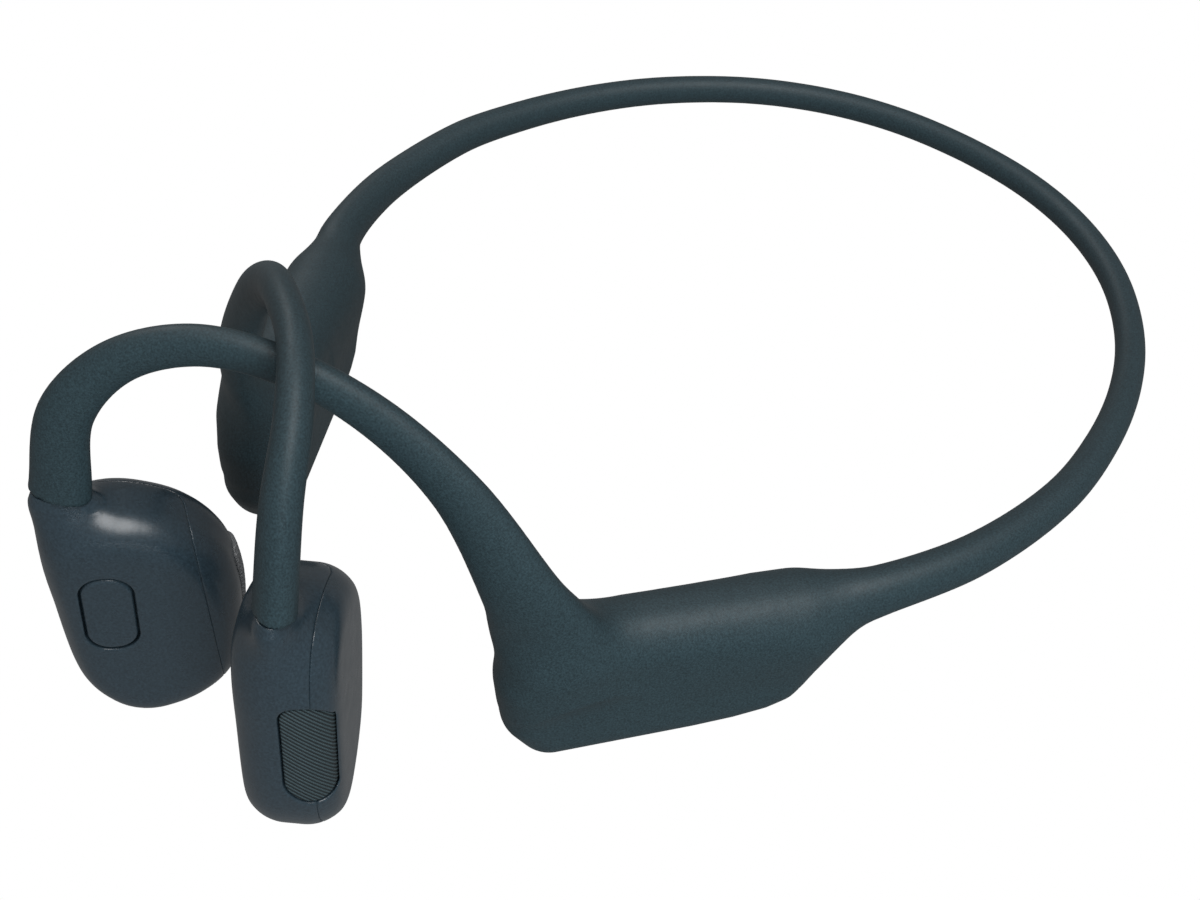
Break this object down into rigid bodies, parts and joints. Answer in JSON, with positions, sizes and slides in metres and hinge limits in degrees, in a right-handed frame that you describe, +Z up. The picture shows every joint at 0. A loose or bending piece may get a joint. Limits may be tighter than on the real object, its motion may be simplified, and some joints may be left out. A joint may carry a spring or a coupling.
{
  "type": "bone conduction headphones",
  "caption": "Open-ear bone conduction headset: sprung neckband, two pods, ear hooks and vibrating transducers, lying with its hooks crossed.",
  "frame": {"origin": "centre of the bounding box, at the surface that the headset lies on", "axes": "+Z up, the wearer faces -Y, the wearer's left is +X"},
  "size_m": [0.0958, 0.1346, 0.0526],
  "materials": {
    "silicone_skin": "matte, very fine speckle",
    "button_rubber": "matte",
    "housing": "satin gloss, soft-touch",
    "vent_mesh": "fine twill weave of acoustic cloth",
    "grille": "fine horizontal ribs",
    "spring_wire": "bare nickel-titanium wire",
    "cable_jacket": "smooth",
    "magnet_steel": "nickel plated",
    "copper_coil": "enamelled copper winding",
    "speaker_plastic": "moulded",
    "switch_metal": "stamped",
    "cell_foil": "laminated foil pouch",
    "circuit_board": "solder mask",
    "light_lens": "frosted",
    "socket_steel": "stamped"
  },
  "bodies": {
    "neckband": {"back_band_sleeve": "silicone_skin", "back_band_wire": "spring_wire", "back_band_cable": "cable_jacket"},
    "left_arm": {"left_hook_sleeve": "silicone_skin", "left_pod_shell": "silicone_skin", "left_pod_cover": "silicone_skin", "left_band_sleeve": "silicone_skin", "left_arm_wire": "spring_wire", "left_band_cable": "cable_jacket", "left_hook_cable": "cable_jacket", "left_transducer_shell": "housing", "left_contact_shell": "housing", "left_front_mesh": "vent_mesh", "left_rear_grille": "grille", "left_voice_coil": "copper_coil", "left_spring_plate": "magnet_steel", "left_air_speaker": "speaker_plastic", "left_microphone": "magnet_steel", "left_button_switch": "switch_metal", "left_battery_cell": "cell_foil", "left_protection_board": "circuit_board"},
    "left_driver_mass": {"left_magnet_cup": "magnet_steel", "left_magnet": "magnet_steel"},
    "right_arm": {"right_hook_sleeve": "silicone_skin", "right_pod_shell": "silicone_skin", "right_pod_cover": "silicone_skin", "right_band_sleeve": "silicone_skin", "right_arm_wire": "spring_wire", "right_band_cable": "cable_jacket", "right_hook_cable": "cable_jacket", "right_transducer_shell": "housing", "right_contact_shell": "housing", "right_front_mesh": "vent_mesh", "right_rear_grille": "grille", "right_voice_coil": "copper_coil", "right_spring_plate": "magnet_steel", "right_air_speaker": "speaker_plastic", "right_microphone": "magnet_steel", "right_main_board": "circuit_board", "right_volume_up_switch": "switch_metal", "right_volume_down_switch": "switch_metal", "right_status_light": "light_lens", "right_charging_socket": "socket_steel"},
    "right_driver_mass": {"right_magnet_cup": "magnet_steel", "right_magnet": "magnet_steel"},
    "multifunction_button": {"multifunction_button": "housing"},
    "volume_up_button": {"right_volume_up_button": "button_rubber"},
    "volume_down_button": {"right_volume_down_button": "button_rubber"}
  },
  "joints": [
    {"name": "left_arm_flex", "type": "hinge", "parent": "neckband", "child": "left_arm", "pos_m": [0.0306, 0.0536, 0.0079], "axis": [0, 0, 1], "range_deg": [-2, 0], "stiffness_Nm_per_rad": 0.3},
    {"name": "right_arm_flex", "type": "hinge", "parent": "neckband", "child": "right_arm", "pos_m": [-0.0306, 0.0536, 0.0079], "axis": [0, 0, 1], "range_deg": [0, 2], "stiffness_Nm_per_rad": 0.3},
    {"name": "multifunction_press", "type": "slide", "parent": "left_arm", "child": "multifunction_button", "axis": [-0.7771, 0.6293, 0], "range_m": [0, 0.0003], "stiffness_N_per_m": 2500},
    {"name": "volume_up_press", "type": "slide", "parent": "right_arm", "child": "volume_up_button", "axis": [0, 0.0872, 0.9962], "range_m": [0, 0.0004], "stiffness_N_per_m": 2000},
    {"name": "volume_down_press", "type": "slide", "parent": "right_arm", "child": "volume_down_button", "axis": [0, 0.0872, 0.9962], "range_m": [0, 0.0004], "stiffness_N_per_m": 2000},
    {"name": "left_driver_vibration", "type": "slide", "parent": "left_arm", "child": "left_driver_mass", "axis": [-0.7771, 0.6293, 0], "range_m": [-0.00015, 0.00015], "stiffness_N_per_m": 3000},
    {"name": "right_driver_vibration", "type": "slide", "parent": "right_arm", "child": "right_driver_mass", "axis": [0.7771, 0.6269, -0.0548], "range_m": [-0.00015, 0.00015], "stiffness_N_per_m": 3000}
  ]
}
